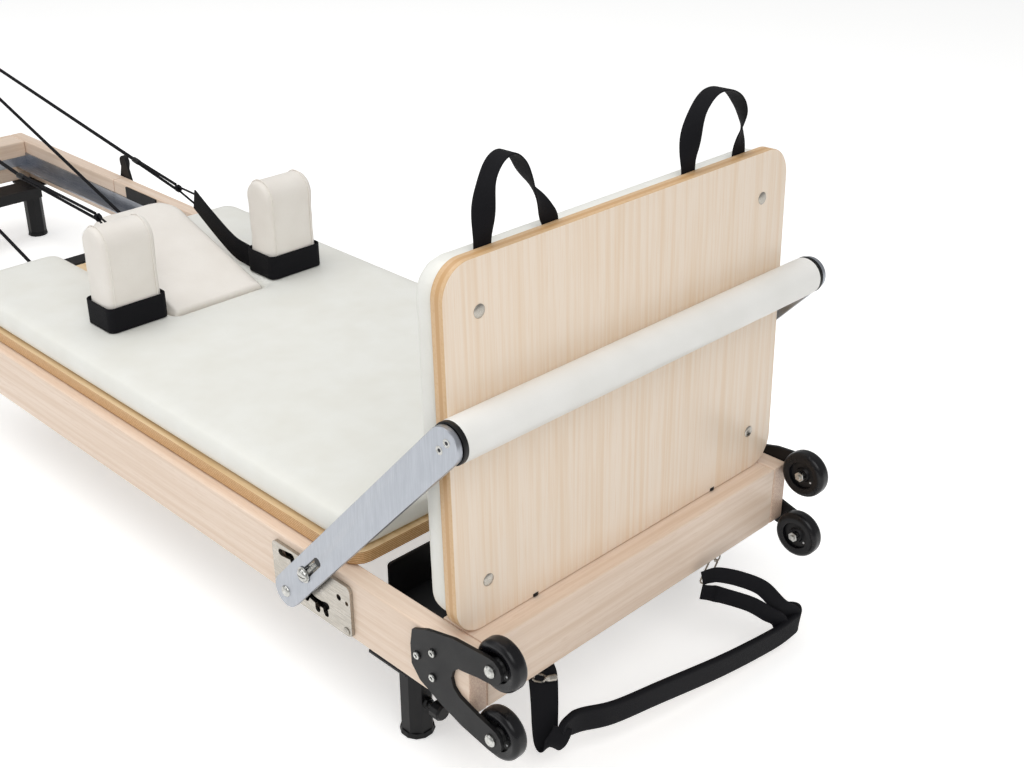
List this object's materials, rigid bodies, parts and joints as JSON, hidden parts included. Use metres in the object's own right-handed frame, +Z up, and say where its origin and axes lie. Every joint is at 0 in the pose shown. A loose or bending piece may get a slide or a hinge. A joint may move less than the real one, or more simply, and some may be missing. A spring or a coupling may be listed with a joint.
{
  "type": "folding pilates reformer",
  "caption": "Folding wooden pilates reformer with a padded sliding carriage, jump board, footbar, shoulder rests and pulley risers.",
  "frame": {"origin": "on the floor under the middle of the bounding box", "axes": "+X towards the foot end, +Y to the far side, +Z up"},
  "size_m": [2.4676, 0.7142, 0.8144],
  "materials": {
    "maple": "clear matt lacquer",
    "aluminium": "anodised satin",
    "black_steel": "matt powder coat",
    "black_plastic": "matt",
    "rubber": "glossy black",
    "stainless": "brushed",
    "zinc": "bright zinc",
    "cream": "soft vinyl, satin",
    "plywood": "clear lacquer",
    "laminate": "pale maple laminate",
    "webbing": "woven, matt"
  },
  "bodies": {
    "frame": {"near_side_rail": "maple", "far_side_rail": "maple", "foot_end_rail": "maple", "frame_tracks": "aluminium", "near_frame_leaf": "black_steel", "far_frame_leaf": "black_steel", "near_backing_plate": "black_steel", "far_backing_plate": "black_steel", "near_foot_leg": "black_steel", "far_foot_leg": "black_steel", "middle_stand": "black_steel", "near_wheel_plate": "black_steel", "far_wheel_plate": "black_steel", "spring_bar": "black_steel", "near_catch_plate": "stainless", "far_catch_plate": "stainless", "near_strap_hook": "stainless", "far_strap_hook": "stainless", "foot_strap": "webbing"},
    "near_upper_wheel": {"near_upper_wheel": "rubber"},
    "near_lower_wheel": {"near_lower_wheel": "rubber"},
    "far_upper_wheel": {"far_upper_wheel": "rubber"},
    "far_lower_wheel": {"far_lower_wheel": "rubber"},
    "near_knob": {"near_leg_knob": "black_plastic"},
    "far_knob": {"far_leg_knob": "black_plastic"},
    "bar_pivot": {"near_bar_bolt": "zinc", "far_bar_bolt": "zinc"},
    "footbar": {"near_bar_arm": "aluminium", "far_bar_arm": "aluminium", "bar_tube": "aluminium", "bar_sleeve": "cream"},
    "carriage": {"carriage_board": "plywood", "carriage_pad": "cream", "carriage_chassis": "black_steel", "near_outer_spring": "zinc", "near_inner_spring": "zinc", "far_inner_spring": "zinc", "far_outer_spring": "zinc", "near_hand_loop": "webbing", "far_hand_loop": "webbing", "near_rope": "webbing", "far_rope": "webbing"},
    "front_roller": {"front_roller_axle": "black_plastic"},
    "rear_roller": {"rear_roller_axle": "black_plastic"},
    "headrest": {"headrest_board": "plywood", "headrest_pad": "cream"},
    "near_rest": {"near_shoulder_rest": "cream"},
    "far_rest": {"far_shoulder_rest": "cream"},
    "head_section": {"near_head_rail": "maple", "far_head_rail": "maple", "head_end_rail": "maple", "head_tracks": "aluminium", "near_head_leaf": "black_steel", "far_head_leaf": "black_steel", "head_stand": "black_steel"},
    "near_pulley": {"near_pulley": "black_plastic"},
    "far_pulley": {"far_pulley": "black_plastic"},
    "jump_board": {"jump_board_ply": "laminate", "jump_board_pad": "cream", "grab_loops": "webbing"}
  },
  "joints": [
    {"name": "fold", "type": "hinge", "parent": "frame", "child": "head_section", "pos_m": [-0.7338, 0, 0.271], "axis": [0, 1, 0], "range_deg": [0, 180], "deforming": ["near_rope", "far_rope"]},
    {"name": "carriage_slide", "type": "slide", "parent": "frame", "child": "carriage", "axis": [1, 0, 0], "range_m": [-0.78, 0], "deforming": ["near_rope", "far_rope"]},
    {"name": "headrest_tilt", "type": "hinge", "parent": "carriage", "child": "headrest", "pos_m": [0.1472, 0, 0.2995], "axis": [0, 1, 0], "range_deg": [-18, 0]},
    {"name": "near_rest_lift", "type": "slide", "parent": "carriage", "child": "near_rest", "axis": [0, 0, 1], "range_m": [0, 0.06]},
    {"name": "far_rest_lift", "type": "slide", "parent": "carriage", "child": "far_rest", "axis": [0, 0, 1], "range_m": [0, 0.06]},
    {"name": "bar_turn", "type": "hinge", "parent": "frame", "child": "bar_pivot", "pos_m": [0.8366, 0, 0.2225], "axis": [0, 1, 0], "range_deg": [0, 44]},
    {"name": "bar_lift", "type": "slide", "parent": "bar_pivot", "child": "footbar", "axis": [0.6756, 0, 0.7373], "range_m": [0, 0.012]},
    {"name": "jump_board_lift", "type": "slide", "parent": "frame", "child": "jump_board", "axis": [-0.0305, 0, 0.9995], "range_m": [0, 0.1]},
    {"name": "near_upper_wheel_turn", "type": "hinge", "parent": "frame", "child": "near_upper_wheel", "pos_m": [1.1682, -0.3102, 0.2398], "axis": [0, 1, 0], "continuous": true},
    {"name": "near_lower_wheel_turn", "type": "hinge", "parent": "frame", "child": "near_lower_wheel", "pos_m": [1.1682, -0.3102, 0.1361], "axis": [0, 1, 0], "continuous": true},
    {"name": "near_pulley_turn", "type": "hinge", "parent": "head_section", "child": "near_pulley", "pos_m": [-1.0398, -0.12, 0.509], "axis": [0, 1, 0], "continuous": true},
    {"name": "near_knob_turn", "type": "hinge", "parent": "frame", "child": "near_knob", "pos_m": [0.99029, -0.277, 0.058], "axis": [1, 0, 0], "continuous": true},
    {"name": "far_upper_wheel_turn", "type": "hinge", "parent": "frame", "child": "far_upper_wheel", "pos_m": [1.1682, 0.3102, 0.2398], "axis": [0, 1, 0], "continuous": true},
    {"name": "far_lower_wheel_turn", "type": "hinge", "parent": "frame", "child": "far_lower_wheel", "pos_m": [1.1682, 0.3102, 0.1361], "axis": [0, 1, 0], "continuous": true},
    {"name": "far_pulley_turn", "type": "hinge", "parent": "head_section", "child": "far_pulley", "pos_m": [-1.0398, 0.12, 0.509], "axis": [0, 1, 0], "continuous": true},
    {"name": "far_knob_turn", "type": "hinge", "parent": "frame", "child": "far_knob", "pos_m": [0.99029, 0.277, 0.058], "axis": [1, 0, 0], "continuous": true},
    {"name": "front_roller_turn", "type": "hinge", "parent": "carriage", "child": "front_roller", "pos_m": [0.7732, 0, 0.1938], "axis": [0, 1, 0], "continuous": true},
    {"name": "rear_roller_turn", "type": "hinge", "parent": "carriage", "child": "rear_roller", "pos_m": [-0.1938, 0, 0.1938], "axis": [0, 1, 0], "continuous": true}
  ],
  "couplings": [
    {"joint": "front_roller_turn", "follows": "carriage_slide", "rad_per_m": 64.516},
    {"joint": "rear_roller_turn", "follows": "carriage_slide", "rad_per_m": 64.516}
  ]
}
